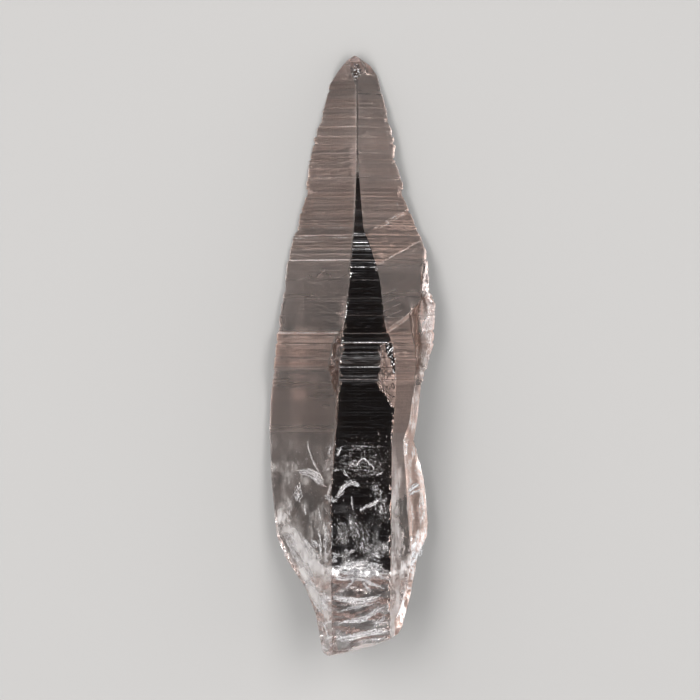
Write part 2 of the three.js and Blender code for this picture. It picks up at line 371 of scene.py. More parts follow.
# %% [markdown]
# Steps on the right face
# Growth didn't always stop in level lines. On the right face a step slants up across the wide
# flat, with a slightly raised field of its own slant above it. Both are ramps of the distance
# from a slanting line, faded out at the sides.

# %% Slanting step and field
STEP_FOOT = (6.0, 48.2)
STEP_SLANT = -0.69
STEP_HEIGHT = 0.3
STEP_WIDTH = 0.9
STEP_DROP = 1.3
FIELD_TOP = (4.0, 30.4)
FIELD_BOTTOM = (4.6, 36.8)
FIELD_SLANT = -0.56
FIELD_HEIGHT = 0.12


def below_line(x, s, start, slant):
    """How far s lies below a slanting line through start, given as x and s."""
    return s - (start[1] + slant * (x - start[0]))


def right_step(x, s):
    """A field rising to a slanting step that drops over its width, faded out at both sides."""
    below = below_line(x, s, STEP_FOOT, STEP_SLANT)
    rise = bump_at(below, -5, 0) * (1 - STEP_DROP * np.clip(below / STEP_WIDTH, 0, 1))
    recover = 1 - bump_at(below, STEP_WIDTH, 3.5)
    return STEP_HEIGHT * rise * recover * between(1, x, (4.5, 6.2), (9.6, 11.0))


def right_field(x, s):
    """A slightly raised parallelogram between two slanting lines."""
    top = below_line(x, s, FIELD_TOP, FIELD_SLANT)
    bottom = below_line(x, s, FIELD_BOTTOM, FIELD_SLANT)
    return FIELD_HEIGHT * bump_at(top, -0.1, 0.1) * (1 - bump_at(bottom, -0.1, 0.12))


step_top = right_step(np.array([8.0]), np.arange(40, 50, 0.05)).max()
print("slanting step:", round(float(step_top), 2), "mm high")

# %% [markdown]
# Relief of the faces
# On top of the plain faces come the small forms: fine growth lines, the slanting step and its
# field, the scalloped chip, the etched notch, the pit at the tip and the crests of the break.
# Each is a height in millimetres, added along the face's normal.

# %% Relief
PIT = (0.75, 3.2)
PIT_DEPTH = 0.12
PIT_RADIUS = 0.42
CHIP_HOLLOW = 0.9
SCALLOP = 0.3
SWELL = 0.05
ETCHING = 0.07
CREST = 0.4
SMALL_CREST = 0.2


def growth_lines(s):
    """Fine growth lines: noise of s alone, strongest on the ledged half of the crystal."""
    strength = bump_at(s, 6, 12) * (1 - 0.75 * bump_at(s, 55, 62))
    return strength * (0.026 * noise(s * 2.1, s * 0, 3) + 0.018 * noise(s * 4.3, s * 0, 4))


def break_crests(x, s):
    """Crests of the break, from 0 to 1: ridged noise that leans left towards the end."""
    return ridged(x / 5 + 0.1 * s, s / 2.4, 15)


def pit_relief(x, s):
    """A rough hollow: minus the depth times a bell of the uneven distance from its middle."""
    from_pit = ((x - PIT[0]) ** 2 + (s - PIT[1]) ** 2 / 2) / PIT_RADIUS**2
    from_pit = from_pit * np.clip(1 + 0.9 * rough(x / 0.35, s / 0.35, 59), 0.3, 2.5)
    return -PIT_DEPTH * np.exp(-from_pit) * (1 + 0.8 * rough(x / 0.25, s / 0.25, 9))


def relief(x, s, below):
    """Height in millimetres over the plain faces, for the whole grid."""
    lines = growth_lines(s)
    swell = SWELL * noise(x / 4, s / 7, 1)
    scallops = SCALLOP * rough(x / 1.4, s / 6, 7) - CHIP_HOLLOW * np.sin(np.pi * share)
    etched = ETCHING * rough(x / 0.5, s / 0.9, 11)
    crests = CREST * break_crests(x, s) + SMALL_CREST * rough(x / 1.2, s / 0.8, 19)
    pit = pit_relief(x, s)
    chipped = bump_at(s, CHIP_START, 43)
    height = np.select(
        [face == WINDOW, face == NOTCH, face == RIGHT, face == CHIP, face == LEFT],
        [
            lines + 0.3 * swell + pit,
            between(etched, s, (50.5, 51.5), (61, 62)),
            lines + swell + pit + right_step(x, s) + right_field(x, s),
            chipped * scallops + (1 - chipped) * (lines + swell),
            lines + swell + pit,
        ],
        0.0,
    )
    return height - bump_at(below, 0, 1.5) * on_back * crests


print("pit:", round(float(-pit_relief(*np.array(PIT)[:, None])[0]), 2), "mm deep in its middle")

# %% [markdown]
# Building the mesh
# The grid's points are the corners joined by straight chords, squeezed towards the front where
# the break has taken the back, then moved by the ledges and the relief. The relief fades out
# at the edges, which keep their places but for the small cuts of broken ledges in the outline.

# %% The grid's points
EDGE_FADE = 0.5
SERRATION = 0.3
SERRATED_FROM = 0.86
CAP_SCALES = (0.85, 0.6, 0.3)
CAP_BULGE = 0.5


def serration(s):
    """How far small broken ledges cut into the outline: the positive parts of noise of s."""
    cuts = np.clip(noise(s * 1.3, s * 0, 61) + 0.7 * noise(s * 2.9, s * 0, 62), 0, 1)
    return SERRATION * between(1, s, (4, 8), (55, 60)) * cuts


def grid_points():
    """The sheet's points in millimetres, how far each is past the break's start, its x and s."""
    corners = section_corners(rows)
    following = np.roll(corners, -1, axis=1)
    start, chord = corners[:, face], (following - corners)[:, face]
    plain = start + chord * share[:, None]
    x, z = plain[..., 0], plain[..., 1]
    left, right = corners[:, LEFT, 0, None], corners[:, RIGHT_BACK, 0, None]
    across = (x - left) / (right - left)
    end_x = BREAK_END[0][0] + across * (BREAK_END[-1][0] - BREAK_END[0][0])
    s = leaning(rows[:, None], along(BREAK_END, end_x))
    below = s - along(BREAK_START, x)

    front = front_height(corners, x)
    depth = (front - z) * (1 - along(BREAK_LOSS, below))
    length = np.linalg.norm(chord, axis=-1)
    fade = np.clip(np.minimum(share, 1 - share) * length / EDGE_FADE, 0, 1)
    height = relief(x, s, below) * fade
    normal = np.stack([-chord[..., 1], chord[..., 0]], axis=-1) / length[..., None]

    sideways = LEDGE_SIDE_SHARE * np.clip((x - (left + right) / 2) / LEDGE_SIDE_REACH, -1, 1)
    outer = np.sign(across - 0.5) * bump_at(np.abs(2 * across - 1), SERRATED_FROM, 1)
    moved_x = x + sideways * ledge_height(rows)[:, None] + normal[..., 0] * height
    moved_x = moved_x - outer * serration(rows)[:, None]
    moved_z = np.maximum(front - depth + normal[..., 1] * height, 0)
    points = np.stack([moved_x, LENGTH / 2 - s, moved_z], axis=-1)
    return points, below, x, s


points, below, grid_x, grid_s = grid_points()
print("points:", points.shape, "height:", round(float(points[..., 2].max()), 2), "mm")

# %% [markdown]
# Closing the ends
# The tip closes on one point. The break's last row closes through a few smaller rings, which
# bulge a little. The faces of stacked rings with a point at each end serve for the veils too.

# %% Mesh of stacked rings
def ring_faces(ring_count, ring_size):
    """Quads between neighbouring rings, as indices into the stacked points."""
    here = np.arange((ring_count - 1) * ring_size).reshape(ring_count - 1, ring_size)
    beside = np.roll(here, -1, axis=1)
    quads = np.stack([here, here + ring_size, beside + ring_size, beside], axis=-1)
    return quads.reshape(-1, 4)


def fan_faces(pole, ring, outward):
    """Triangles from a pole to a ring, turned the way that makes them face outwards."""
    beside = np.roll(ring, -1)
    pair = (ring, beside) if outward else (beside, ring)
    return np.stack([np.full_like(ring, pole), *pair], axis=-1)


def tube_faces(ring_count, ring_size):
    """All faces of stacked rings that two poles close, which are the last two points."""
    pole = ring_count * ring_size
    return [
        *ring_faces(ring_count, ring_size),
        *fan_faces(pole, np.arange(ring_size), True),
        *fan_faces(pole + 1, np.arange(pole - ring_size, pole), False),
    ]


def add_object(name, data):
    """A new object in the scene, at the origin."""
    made = bpy.data.objects.new(name, data)
    bpy.context.scene.collection.objects.link(made)
    return made


def mesh_object(name, points_mm, faces):
    """An object at the origin whose mesh holds the points, given in millimetres."""
    mesh = bpy.data.meshes.new(name)
    mesh.from_pydata((points_mm * MM).tolist(), [], [corners.tolist() for corners in faces])
    mesh.validate()
    return add_object(name, mesh)


def close_ends(points):
    """Adds shrinking rings past the last row and one point at each end."""
    last = points[-1]
    middle = last.mean(axis=0)
    drop = np.array([0, CAP_BULGE, 0])
    caps = [middle + (last - middle) * scale - drop * (1 - scale**2) for scale in CAP_SCALES]
    rings = np.concatenate([points, caps])
    tip = (LEFT_OUTLINE[0][1], LENGTH / 2, RIDGE_HEIGHT[0][1])
    return rings, np.array([tip, middle - drop])


rings, poles = close_ends(points)
ring_count, ring_size = rings.shape[:2]
all_points = np.concatenate([rings.reshape(-1, 3), poles])
low, high = all_points.min(axis=0), all_points.max(axis=0)
shift = np.array([(low[0] + high[0]) / 2, (low[1] + high[1]) / 2, low[2]])
crystal = mesh_object("quartz_point", all_points - shift, tube_faces(ring_count, ring_size))
print("crystal:", len(crystal.data.polygons), "faces, shift", shift.round(3))

# %% [markdown]
# Bright lines
# From here on, numbers are worked out over the same grid that tell the finish where the surface
# is satin, white, darkened by painted shade or cracked. The first is the growth lines, a painted
# highlight where a ledge's step catches the light. Each is a narrow bell, and noise along it
# breaks it up, because a real ledge is chipped here and there.

# %% Mask of the growth lines
RIGHT_WHOLE = (face == RIGHT) | ((face == CHIP) & (rows[:, None] < CHIP_START))
LINE_FADE = 0.3
LINE_STRENGTH = 0.9
# start as x and s, then the first and the last x
FIELD_LINES = [((4.0, 30.4), 4.0, 9.6), ((4.0, 30.9), 5.0, 9.0), ((4.6, 36.8), 4.6, 12.2)]
FAN_STARTS = [(5.0, 42.6), (5.2, 43.9), (5.6, 45.0), (5.7, 46.2), (5.9, 47.2)]
FAN_SLANT = -0.45
FAN_LENGTH = 2.6


def drawn_lines(lines, s):
    """Sum of narrow bells over s, one for each line, as high as its strength."""
    total = np.zeros_like(s)
    for place, strength in lines:
        total += strength * np.exp(-(((s - place) / LINE_WIDTH) ** 2))
    return total


def slanting_line(x, s, start, slant, first_x, last_x):
    """A narrow bell round a slanting line, between two values of x."""
    bell = np.exp(-((below_line(x, s, start, slant) / LINE_WIDTH) ** 2))
    return between(bell, x, (first_x - LINE_FADE, first_x), (last_x, last_x + LINE_FADE))


def broken_lines(x, s, seed):
    """Breaks a line up along its length: noise of x and s, held between 0.15 and 1."""
    return np.clip(0.7 + 0.7 * noise(x / 1.7, s * 1.5, seed), 0.15, 1)


def line_highlight_mask(x, s):
    """Painted highlights on the growth lines of the left face, the window and the right face."""
    left = 1.35 * drawn_lines(LEFT_LINES, s) * broken_lines(x, s, 23)
    window = 1.25 * drawn_lines(WINDOW_LINES, s) * (0.4 + 0.6 * broken_lines(x, s, 24))
    right = 1.35 * drawn_lines(RIGHT_LINES, s) * broken_lines(x, s, 25)
    for start, first_x, last_x in FIELD_LINES:
        right += 1.1 * slanting_line(x, s, start, FIELD_SLANT, first_x, last_x)
    for start in FAN_STARTS:
        right += 0.4 * slanting_line(x, s, start, FAN_SLANT, start[0], start[0] + FAN_LENGTH)
    return np.select([face == LEFT, face == WINDOW, RIGHT_WHOLE], [left, window, right], 0.0)


# painted highlights along the growth lines
painted_line_highlights = LINE_STRENGTH * line_highlight_mask(grid_x, grid_s)
print("brightest line:", round(float(painted_line_highlights.max()), 2))

# %% [markdown]
# Satin
# Haze is the satin veil of thousands of fine growth steps on the wide faces. It is full near
# the tip and thins out lower down, in bands that follow the growth, so two lists of strengths
# down the crystal and some noise of s describe it.

# %% Mask of the satin
MOST_HAZE = 2.6
LEFT_SATIN = [
    (0, 1.0), (12, 0.95), (24, 0.95), (27, 1.15), (32, 1.1), (36, 0.7), (44, 0.4), (48.4, 0.35),
    (48.9, 1.1), (54.5, 1.05), (56, 0.5), (66, 0.5), (72, 0.3),
]
RIGHT_SATIN = [
    (0, 0.7), (22, 0.7), (26, 1.0), (32, 0.95), (36.6, 0.8), (37.2, 0.5), (46, 0.5), (48.5, 1.4),
    (60, 1.1), (66, 0.8), (74, 0.8),
]
# grey bands of the window: strength, ends along s, right end
GREY_BANDS = [(0.22, (53.5, 54.8), 20), (0.15, (35.4, 36.4), 3.2), (0.12, (55.8, 57.6), 20)]
STEP_X = (5.9, 9.8)
GAP_X, GAP_SLANT = 5.3, 0.34
GAP_S = (50.6, 57.5)
NOTCH_S = (50.4, 62.2)
BACK_SATIN = 0.03
BEVEL_SATIN = 0.35


def inside(value, ends):
    """True between the two ends."""
    return (value > ends[0]) & (value < ends[1])


def from_pit(x, s, stretch):
    """Distance from the middle of the pit at the tip, shortened along s by the stretch."""
    return np.hypot(x - PIT[0], (s - PIT[1]) / stretch)


def in_gap(x, s):
    """True past the ragged, slanting left edge of the dark gap in the notch."""
    reach = x - GAP_X - GAP_SLANT * (s - NOTCH_S[0]) + 0.3 * rough(x, s, 37)
    return (reach > 0) & inside(s, GAP_S)


def wide_satin(x, s):
    """Satin of a wide face: a level with bands, cloud and mist, times its list's strength."""
    bands = 0.12 * noise(s * 1.1, s * 0, 31) + 0.08 * noise(s * 3.1, s * 0, 32)
    cloud = 0.08 * rough(x / 5, s / 6, 33)
    mist = 0.22 * bump_at(s, 67, 74) * rough(x / 1.6, s / 4, 35)
    low_down = bump_at(s, 56, 60)
    thinning = 0.32 * bump_at(s, 66.3, 66.6) + 0.25 * bump_at(s, 68, 80)
    wide = 0.85 + 0.15 * low_down - thinning + (bands + cloud) * (1 - 0.7 * low_down) + mist
    wide *= 0.25 + 0.55 * bump_at(s, 0.8, 2.2) + 0.2 * bump_at(s, 2.5, 5)
    return wide * np.where(face == LEFT, along(LEFT_SATIN, s), along(RIGHT_SATIN, s))


def haze_mask(x, s):
    """Satin of every face: the wide faces' own, more on the step and the chip, none in the pit."""
    wide = wide_satin(x, s)
    step_below = below_line(x, s, STEP_FOOT, STEP_SLANT)
    on_step = inside(step_below, (0, STEP_WIDTH)) & inside(x, STEP_X)
    field = 0.8 * (right_field(x, s) > FIELD_HEIGHT / 2) + 1.6 * on_step
    near_tip = np.where(s < 5, wide, 0.5) * (1 - bump_at(s, 20.5, 22.5))
    grey_bands = sum(grey * (inside(s, band) & (x < end)) for grey, band, end in GREY_BANDS)
    low_window = 0.15 * bump_at(s, 68, 74) * (0.6 + 0.4 * rough(x / 1.5, s / 2, 34))
    etched = np.where(inside(s, NOTCH_S), 1.2, wide)
    in_window = (face == WINDOW) | ((face == NOTCH) & (share == 0))
    under_tip = 2.0 * (1 - bump_at(s, 2.5, 4))
    satin = np.select(
        [in_window, RIGHT_WHOLE, face == CHIP, face == LEFT, face == BEVEL, face == NOTCH],
        [
            np.maximum(near_tip, low_window) + grey_bands,
            wide + field,
            0.55 + 1.3 * bump_at(s, 60, 66) + 0.6 * rough(x / 0.5, s / 3, 57),
            wide,
            BEVEL_SATIN,
            etched * ~in_gap(x, s),
        ],
        under_tip + np.where(face == BACK, BACK_SATIN, 0.8 * wide * (1 - bump_at(s, 60, 70)) + 0.1),
    )
    return satin * (from_pit(x, s, 1) >= 1.2 * PIT_RADIUS)


haze = np.clip(haze_mask(grid_x, grid_s), 0, MOST_HAZE)
print("mean haze:", round(float(haze.mean()), 3))

# %% [markdown]
# Where the great crack comes out
# A crack runs right across the crystal above its break and reaches the surface of the front
# faces there, as ragged white wisps. Two broken lines give its course, and noise tears it.

# %% Mask of the great crack
CRACK_FRONT = [
    (-11.9, 81.9), (-9.8, 85.5), (-8.1, 88.0), (-6.4, 89.8), (-4.2, 90.9), (0.5, 90.6),
    (6.2, 91.3), (8.0, 91.2), (9.9, 89.7), (11.4, 87.0), (12.7, 84.8),
]
CRACK_WIDTH = [(-11.9, 2.0), (-6, 1.7), (-4, 1.1), (7, 1.0), (9, 1.5), (13, 1.8)]
LEFT_FRINGE = [(89.0, -9.8), (91.5, -8.3), (94.0, -7.2), (96.0, -6.0), (98.0, -4.7), (99.5, -4.0)]
FRINGE_WIDTH = 0.7


def crack_front_mask(x, s):
    """The greater of two bells, round the crack and round its left fringe, torn by noise."""
    from_crack = (s - along(CRACK_FRONT, x)) / along(CRACK_WIDTH, x)
    from_fringe = (x - along(LEFT_FRINGE, s)) / FRINGE_WIDTH
    fringe = between(np.exp(-(from_fringe**2)), s, (88, 90), (98, 100))
    ragged = np.clip(0.7 + 0.9 * rough(x / 0.9, s / 0.9, 56, 4), 0, 1)
    strength = np.where(face == WINDOW, 0.75, 1.3)
    return strength * np.maximum(np.exp(-(from_crack**2)), fringe) * ragged


great_crack = ~on_back * crack_front_mask(grid_x, grid_s)
print("points on the great crack:", int((great_crack > 0.5).sum()))

# %% [markdown]
# White, fractured quartz
# White is quartz full of air films: the chip down the right side, the rims of the slanting
# step, the mist low on the faces and the edge and crests of the break. With the great crack and
# the growth lines, which are painted highlights, it makes up the white mask.

# %% Mask of the white
MOST_WHITE = 1.5
RIM_WIDTH = 0.12
# height, start along s, size of a cell as x and s, seed, octaves, lift
WISPS = {
    "flank": (0.5, (66, 76), (0.8, 5), 47, 4, 0.15),
    "fibres": (0.9, (58, 64), (0.35, 4), 65, 4, 0.15),
    "mist": (0.55, (67, 70), (1.2, 2.2), 52, 5, 0.05),
    "low mist": (0.4, (76, 84), (1.4, 2.4), 53, 5, 0.1),
}


def wisps(x, s, height, start, cell, seed, octaves, lift):
    """The height times noise, which is lifted and cut off at nought, so that wisps remain."""
    torn = np.clip(rough(x / cell[0], s / cell[1], seed, octaves) + lift, 0, 1)
    return height * bump_at(s, *start) * torn


def white_mask(x, s, below):
    """Fractured quartz: the chip, the slanting step's rims, the mist and the break."""
    streaks = 0.4 + 0.8 * rough(x / 0.5, s / 7, 41)
    dark_patch = np.exp(-(((x - 12.1) / 0.6) ** 2) - ((s - 47.9) / 3) ** 2)
    chip = bump_at(s, 36, 41) * (1 - 0.5 * bump_at(s, 62, 72)) * (streaks + 0.2 - dark_patch)
    step_below = below_line(x, s, STEP_FOOT, STEP_SLANT)
    rims = sum(np.exp(-(((step_below - rim) / RIM_WIDTH) ** 2)) for rim in (0, STEP_WIDTH))
    step = rims * inside(x, STEP_X)
    flank, fibres, mist, low_mist = (wisps(x, s, *measures) for measures in WISPS.values())
    edge = 0.8 * np.exp(-(((below - 0.4) / 0.9) ** 2))
    broken = bump_at(below, -1.6, 0.6) * (0.06 + edge + 1.1 * break_crests(x, s) ** 4)
    chipped = (0.15 + 0.45 * share) * chip + fibres
    return np.select(
        [RIGHT_WHOLE, face == CHIP, face == LEFT, face == WINDOW, on_back],
        [0.7 * step + flank + 0.5 * mist, chipped, mist, low_mist, broken],
        0.0,
    )


# the growth lines' painted highlights join the white
white = white_mask(grid_x, grid_s, below) + painted_line_highlights
white = np.clip(white + great_crack, 0, MOST_WHITE)
print("mean white:", round(float(white.mean()), 3))

# %% [markdown]
# Glints, painted shade and fine cracks
# The faces' edges and the pit are chipped and glint. The tip, the pit, the bevel, parts of the
# side faces, the hollow of the chip and the gap in the notch get painted shade, a brown that
# deepens to black, so that they look darker than clear quartz. The notch itself is crossed by
# fine dark cracks. The finest growth lines get a mask as well.

# %% Masks of small spots
def glint_mask(x, s):
    """Spots of broken quartz: the faces' edges, the pit at the tip and the gap by the notch."""
    front_edge = (share == 0) & (face != BACK) & ((face != RIGHT_BACK) | (s < 50))
    strength = np.where(face == NOTCH, 0.12, 0.55) * (1 - 0.65 * (s > 57))
    edge = strength * front_edge * (s > 5) * bump_at(rough(x / 9, s / 1.2, 54), 0, 0.5)
    pit = from_pit(x, s, 2) < PIT_RADIUS * (1.2 + 0.8 * rough(x / 0.4, s / 0.4, 64))
    gap = 0.7 * ((face == NOTCH) & in_gap(x, s))
    beads = 0.8 * ((face == NOTCH) & (share > 0.8) & (s < 56))
    return np.maximum(np.maximum(edge, pit), np.maximum(gap, beads))


def painted_shade_mask(x, s):
    """Painted shade: 1 paints a dark brown, 2 paints black, as in the gap by the notch."""
    tip = 0.45 * (1 - bump_at(s, 0.9, 1.5))
    in_pit = from_pit(x, s, 1.9) < PIT_RADIUS * (1 + 0.6 * rough(x / 0.4, s / 0.4, 63))
    right = 0.1 + 0.25 * bump_at(s, 37, 39) * (s < 48)
    streaks = bump_at(rough(x / 0.45, s / 8, 55), -0.7, 0.2)
    chip = between(1.5 - 0.9 * share, s, (36, 40), (54, 62)) * streaks
    bevel = (0.9 + 0.5 * rough(x / 0.5, s / 0.9, 58)) * bump_at(s, 47, 49)
    gap = 2.0 * in_gap(x, s) + 0.7 * (s > 62)
    left = between(0.5, s, (52, 58), (64, 68)) + 0.05 + between(0.35, s, (37, 42), (48.1, 48.4))
    return np.select(
        [s < 1.5, in_pit, RIGHT_WHOLE, face == CHIP, face == BEVEL, face == NOTCH, face == LEFT],
        [tip, 1.5, right, chip, bevel, gap, left],
        0.0,
    )


def crack_mask(s):
    """The etched notch, where fine dark cracks run, most of them by its right edge."""
    return (face == NOTCH) * bump_at(s, 50.6, 51) * (0.7 + 0.5 * (share > 0.55))


def ladder_mask(s):
    """Where the finest growth lines show: all over the ledged half, most in the window."""
    window = 1.4 * bump_at(s, 21, 30) * (1 - 0.2 * bump_at(s, 58, 62))
    window *= 1 - 0.3 * bump_at(s, 39, 41)
    window += between(0.5, s, (50, 51), (57, 58))
    sides = (0.6 + 0.2 * RIGHT_WHOLE) * bump_at(s, 5, 9) * (1 - 0.9 * bump_at(s, 55, 60))
    return np.select([face == WINDOW, (face == LEFT) | RIGHT_WHOLE], [window, sides], 0.0)


spots = {
    "ladder": ladder_mask(grid_s),
    "glinting": glint_mask(grid_x, grid_s),
    # painted shade, for darker colour where the quartz should look dark
    "painted_shade": painted_shade_mask(grid_x, grid_s),
    "cracked": crack_mask(grid_s),
}
print("means:", {name: round(float(mask.mean()), 3) for name, mask in spots.items()})

# %% [markdown]
# Storing the masks
# The finish reads the masks as numbers stored with the mesh. The rings that close the break
# and the poles aren't part of the grid, so they take a value of their own. Faces are shaded
# smoothly but for edges sharper than a growth ledge's.

# %% Store the masks with the mesh
END_HAZE, END_WHITE = 0.4, 0.5
SHARP_ANGLE = math.radians(14)


def over_whole_mesh(grid, end_value):
    """A grid's values for every point: the caps and the poles take the end value."""
    caps = np.full((len(CAP_SCALES), ring_size), end_value)
    flat = np.concatenate([grid, caps]).ravel()
    return np.append(flat, [grid[0].mean(), end_value])


def store(target, name, values):
    """Writes one number for each point of a mesh, for its material to read."""
    attribute = target.data.attributes.new(name, "FLOAT", "POINT")
    attribute.data.foreach_set("value", np.asarray(values, np.float32))


def smooth(target):
    """Shades all faces of a mesh smoothly."""
    target.data.polygons.foreach_set("use_smooth", np.ones(len(target.data.polygons), bool))


store(crystal, "haze", over_whole_mesh(haze, END_HAZE))
store(crystal, "white", over_whole_mesh(white, END_WHITE))
for name, mask in spots.items():
    store(crystal, name, over_whole_mesh(mask, 0.0))
smooth(crystal)
crystal.data.set_sharp_from_angle(angle=SHARP_ANGLE)
print("stored:", ["haze", "white", *spots])

# %% [markdown]
# Writing finishes as sums
# A finish is worked out from a few patterns by adding, multiplying and mixing. So that it reads
# like a sum, a small class stands for a socket, and using an operator on it adds the Math node.

# %% Sockets that add and multiply
class Wire:
    """A socket in a material, on which Python's operators add Math nodes."""

    def __init__(self, finish, socket):
        self.finish = finish
        self.socket = socket

    def math(self, operation, first, second, clamp=False):
        """The result of a Math node over two sockets or numbers."""
        settings = {"operation": operation, "use_clamp": clamp}
        return self.finish.node("ShaderNodeMath", settings, {0: first, 1: second})

    def __add__(self, other):
        return self.math("ADD", self, other)

    def __mul__(self, other):
        return self.math("MULTIPLY", self, other)

    def __sub__(self, other):
        return self.math("SUBTRACT", self, other)

    def __rsub__(self, other):
        return self.math("SUBTRACT", other, self)

    __radd__ = __add__
    __rmul__ = __mul__

    def near(self, value, width):
        """1 at the value, falling smoothly to 0 at the width from it."""
        return 1 - self.math("ABSOLUTE", self - value, 0.0).step(0, width)

    def step(self, low, high):
        """Smooth step from 0 at low to 1 at high."""
        settings = {"interpolation_type": "SMOOTHSTEP"}
        sockets = {"Value": self, "From Min": low, "From Max": high}
        return self.finish.node("ShaderNodeMapRange", settings, sockets)


class Finish:
    """A material or a world, whose nodes all come from one method."""

    def __init__(self, owner):
        owner.use_nodes = True
        self.owner = owner
        self.tree = owner.node_tree
        self.tree.nodes.clear()

    def node(self, kind, settings, sockets, output=0):
        """Adds a node, sets it, then fills its sockets with values or links."""
        made = self.tree.nodes.new(kind)
        for name, value in settings.items():
            setattr(made, name, value)
        for name, value in sockets.items():
            if isinstance(value, Wire):
                self.tree.links.new(value.socket, made.inputs[name])
            else:
                made.inputs[name].default_value = value
        return Wire(self, made.outputs[output]) if made.outputs else None

    def mask(self, name):
        """A number stored with the mesh."""
        return self.node("ShaderNodeAttribute", {"attribute_name": name}, {}, "Fac")

    def noise_at(self, place, detail):
        """Noise over a place that is given in cells."""
        sockets = {"Vector": place, "Scale": 1.0, "Detail": detail}
        return self.node("ShaderNodeTexNoise", {}, sockets, "Fac")

    def noise(self, scales, detail=3.0):
        """Noise over the piece, with its own scale, in cells for each metre, along X, Y and Z."""
        sockets = {"Vector": self.node("ShaderNodeTexCoord", {}, {}, "Object"), "Scale": scales}
        place = self.node("ShaderNodeMapping", {"vector_type": "POINT"}, sockets)
        return self.noise_at(place, detail)

    def bumps(self, height, strength, distance):
        """The normal of a surface with small bumps of this height."""
        sockets = {"Strength": strength, "Distance": distance, "Height": height}
        return self.node("ShaderNodeBump", {}, sockets, "Normal")

    def shader(self, sockets):
        """A Principled shader with these sockets set or linked."""
        return self.node("ShaderNodeBsdfPrincipled", {}, sockets)

    def blend(self, amount, first, second):
        """Mix of two colours."""
        settings = {"data_type": "RGBA", "clamp_factor": True}
        return self.node("ShaderNodeMix", settings, {"Factor": amount, 6: first, 7: second}, 2)

    def output(self, **sockets):
        """Ends a material with its surface and, where it has one, its volume."""
        self.node("ShaderNodeOutputMaterial", {}, sockets)


print("reflected operators:", [name for name in vars(Wire) if name.startswith("__r")])

# %% [markdown]
# The quartz finish
# Clear quartz is glass with an IOR of 1.544 and a faint smoky tone in its depth. The satin
# faces are the same glass with a rough surface and a thin veil that reflects like frosted
# silver, because light meets thousands of tiny steps there. Air films in the quartz shine like
# metal, so the white mask drives the metallic value; it holds the growth lines' painted
# highlights too. Painted shade turns the colour brown and black and darkens what shows through.

# %% Quartz
QUARTZ_IOR = 1.544
# noise in cells for each metre along X, Y and Z
LINE_CELLS = (14, 4300, 14)
DASH_CELLS = (420, 4600, 420)
STREAK_CELLS = (4200, 420, 4200)
CRACK_CELLS = (900, 380, 900)
GRAIN_CELLS = (2600, 2600, 2600)
CRACK_FINENESS = 0.025
CLEAR_TONE = (0.97, 0.955, 0.95, 1)
HAZE_TONE = (0.9, 0.67, 0.59, 1)
# painted shade: a brown and a black that stand in for darkness
PAINTED_SHADE_TONE = (0.16, 0.1, 0.08, 1)
PAINTED_BLACK_SHADE = (0.015, 0.014, 0.014, 1)
HAZE_DARK = (0.6, 0.4, 0.32, 1)
WHITE_TONE = (0.95, 0.93, 0.925, 1)
DEPTH_TONE = (0.8, 0.73, 0.71, 1)
DEPTH_DENSITY = 20.0
SPECULAR_TINT = (1, 0.82, 0.74, 1)


def quartz_finish():
    """Glass, metallic by the sum of a veil of satin and painted shade, and silver where white."""
    finish = Finish(bpy.data.materials.new("quartz"))
    white = finish.mask("white")
    ladder = finish.mask("ladder")
    lines = finish.noise(LINE_CELLS)
    grain = finish.noise(GRAIN_CELLS, 2.0)
    dashes = finish.noise(DASH_CELLS)
    streaks = finish.noise(STREAK_CELLS)
    cracks = finish.mask("cracked") * finish.noise(CRACK_CELLS).near(0.5, CRACK_FINENESS)
    haze = finish.mask("haze") * (1 - cracks)
    # painted shade, from the stored mask and the notch's fine cracks
    satin = haze.step(0, 0.6)
    painted_shade = finish.mask("painted_shade") + 2.0 * cracks
    ripple = (0.6 * lines + 0.4 * dashes - 0.5) * (0.7 + 1.8 * ladder)
    veil = haze * (0.12 + ripple + 0.9 * (grain - 0.5)) + 0.6 * painted_shade * painted_shade.step(0.5, 0.9)
    faint_lines = ladder * (0.22 * lines.step(0.52, 0.7) + 0.28 * dashes.step(0.52, 0.72))
    glints = finish.mask("glinting") * grain.step(0.53, 0.62)
    wisps = (0.65 * streaks + 0.35 * grain).step(0.42, 0.58)
    # silver where white, including the growth lines' painted highlights
    silver = white * (0.08 + 1.3 * wisps) + faint_lines + glints
    metallic = veil.math("ADD", veil, silver, clamp=True)
    shade = (0.5 + ripple + 0.6 * (grain - 0.5)).step(0.35, 0.65)
    tone = finish.blend(haze, CLEAR_TONE, finish.blend(shade, HAZE_DARK, HAZE_TONE))
    # painted shade turns the tone brown, then black
    shaded_tone = finish.blend(painted_shade, tone, PAINTED_SHADE_TONE)
    dark = finish.blend(painted_shade - 1, shaded_tone, PAINTED_BLACK_SHADE)
    colour = finish.blend((white * wisps + glints).step(0.05, 0.6), dark, WHITE_TONE)
    roughness = 0.03 + 0.27 * satin + 0.3 * white
    height = (0.6 * lines + 0.6 * grain) * (0.3 + 0.7 * satin) - 3.0 * cracks + 2.0 * glints
    surface = {
        "Base Color": colour,
        "Metallic": metallic,
        "Roughness": roughness,
        "IOR": QUARTZ_IOR,
        "Specular Tint": SPECULAR_TINT,
        "Transmission Weight": 1.0,
        "Normal": finish.bumps(height, 0.4, 0.00003),
    }
    depth = {"Color": DEPTH_TONE, "Density": DEPTH_DENSITY}
    volume = finish.node("ShaderNodeVolumeAbsorption", {}, depth)
    finish.output(Surface=finish.shader(surface), Volume=volume)
    return finish.owner


crystal.data.materials.append(quartz_finish())
print("nodes in the quartz finish:", len(crystal.data.materials[0].node_tree.nodes))

# %% [markdown]
# Veils inside
# Low in the crystal, healed cracks hang in the clear quartz as thin silvery veils with ragged,
# fibrous edges. Each is a flat ribbon along a short path. The slanting side faces bend the
# view, so a path is given where its veil shows on the front, and each point is then moved
# inwards by as much as the bend comes to at its depth.

